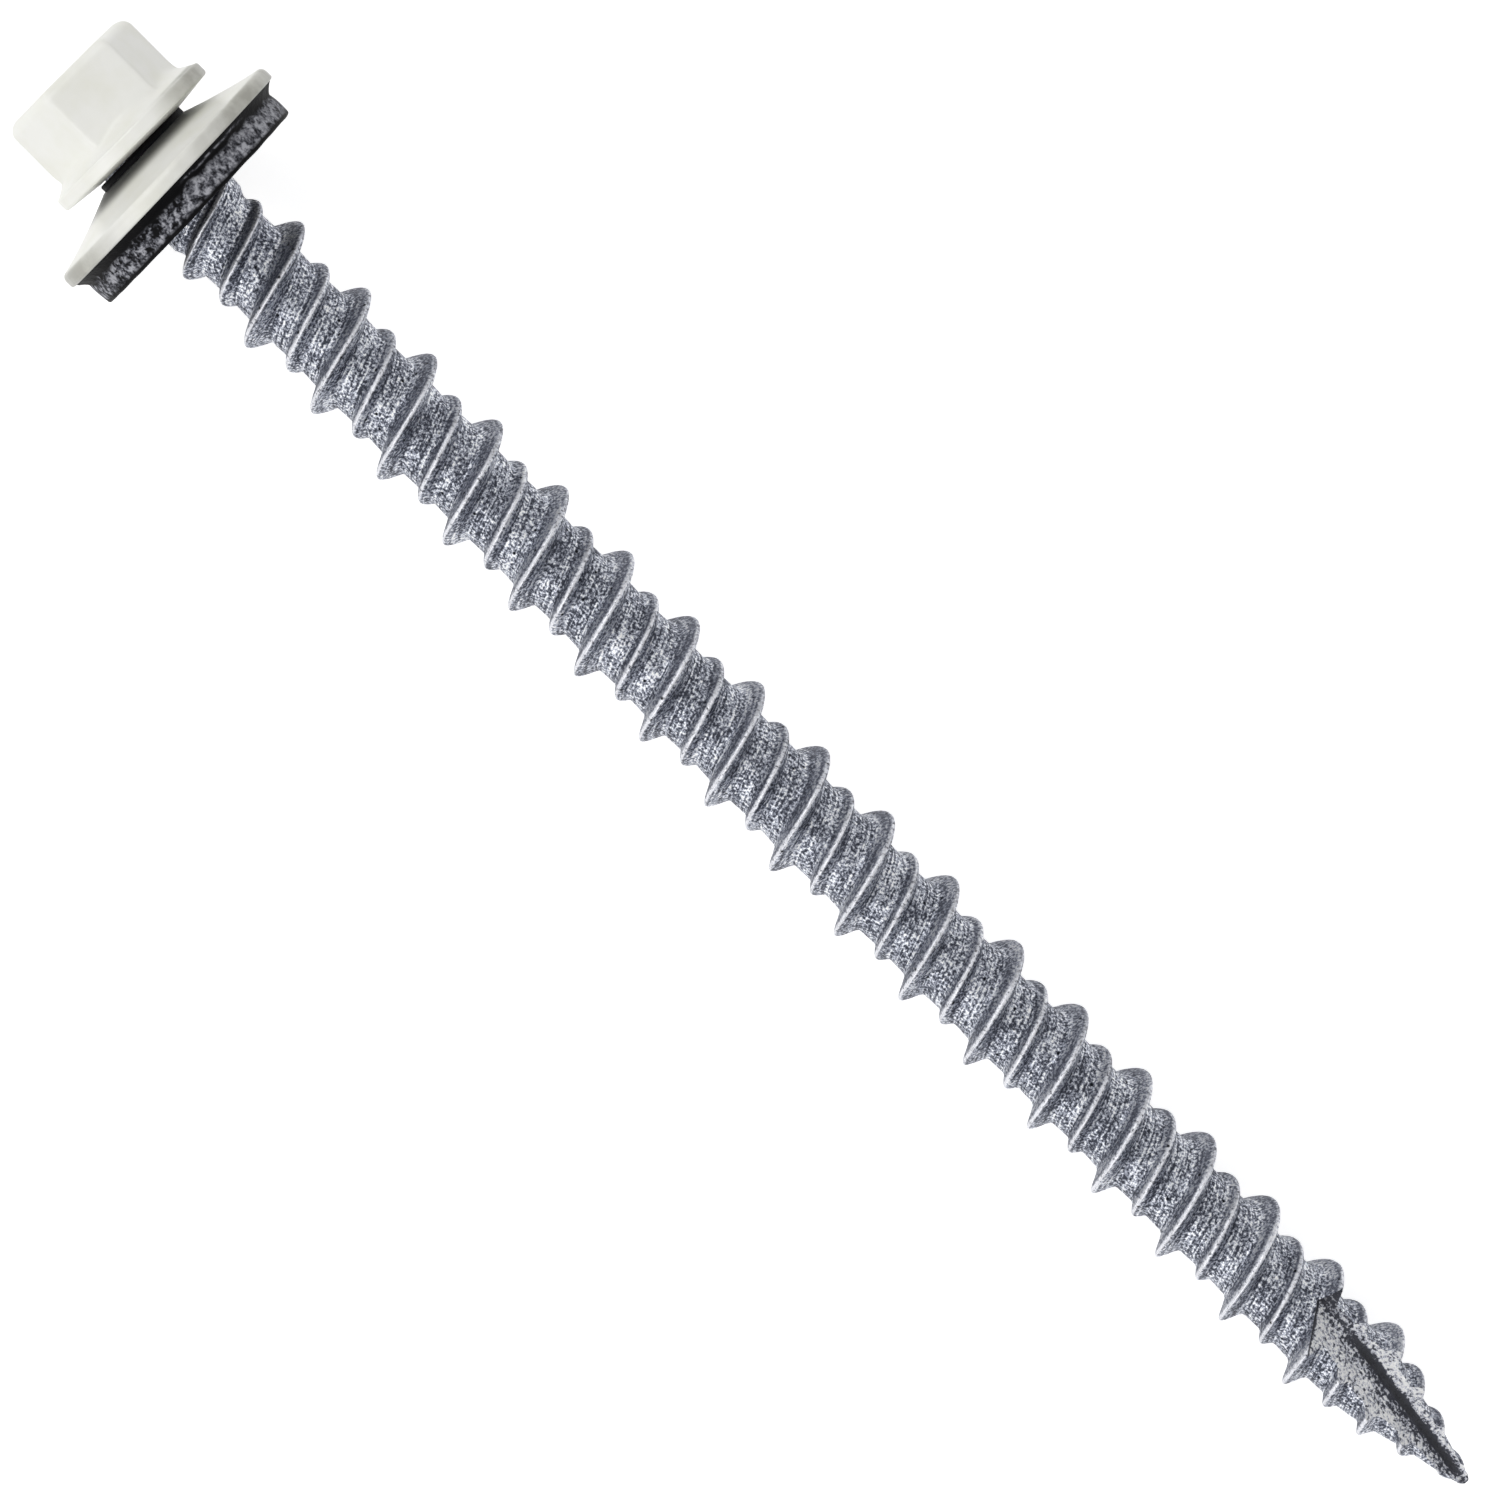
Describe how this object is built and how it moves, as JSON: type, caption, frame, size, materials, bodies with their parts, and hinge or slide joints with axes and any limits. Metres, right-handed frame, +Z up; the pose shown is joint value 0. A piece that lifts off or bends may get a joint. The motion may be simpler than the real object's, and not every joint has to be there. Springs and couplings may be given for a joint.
{
  "type": "metal roofing screw",
  "caption": "Long hex washer head roofing screw with a high-low thread, a fluted sharp point and a domed sealing washer bonded to a rubber ring.",
  "frame": {"origin": "bottom centre of the bounding box: on the floor that the screw lies on, midway between the head's top and the tip", "axes": "+X along the screw from the head to the tip, +Z up from the floor, +Y to the screw's left when seen from the head"},
  "size_m": [0.0918, 0.013, 0.0131],
  "materials": {
    "zinc_coated_steel": "grainy grey zinc coating on the shank; the head is painted off-white",
    "painted_steel": "gloss off-white paint",
    "black_rubber": "matt, with grey bloom on its side"
  },
  "bodies": {
    "root": {"screw": "zinc_coated_steel", "washer_cap": "painted_steel", "rubber_seal": "black_rubber"}
  },
  "joints": []
}
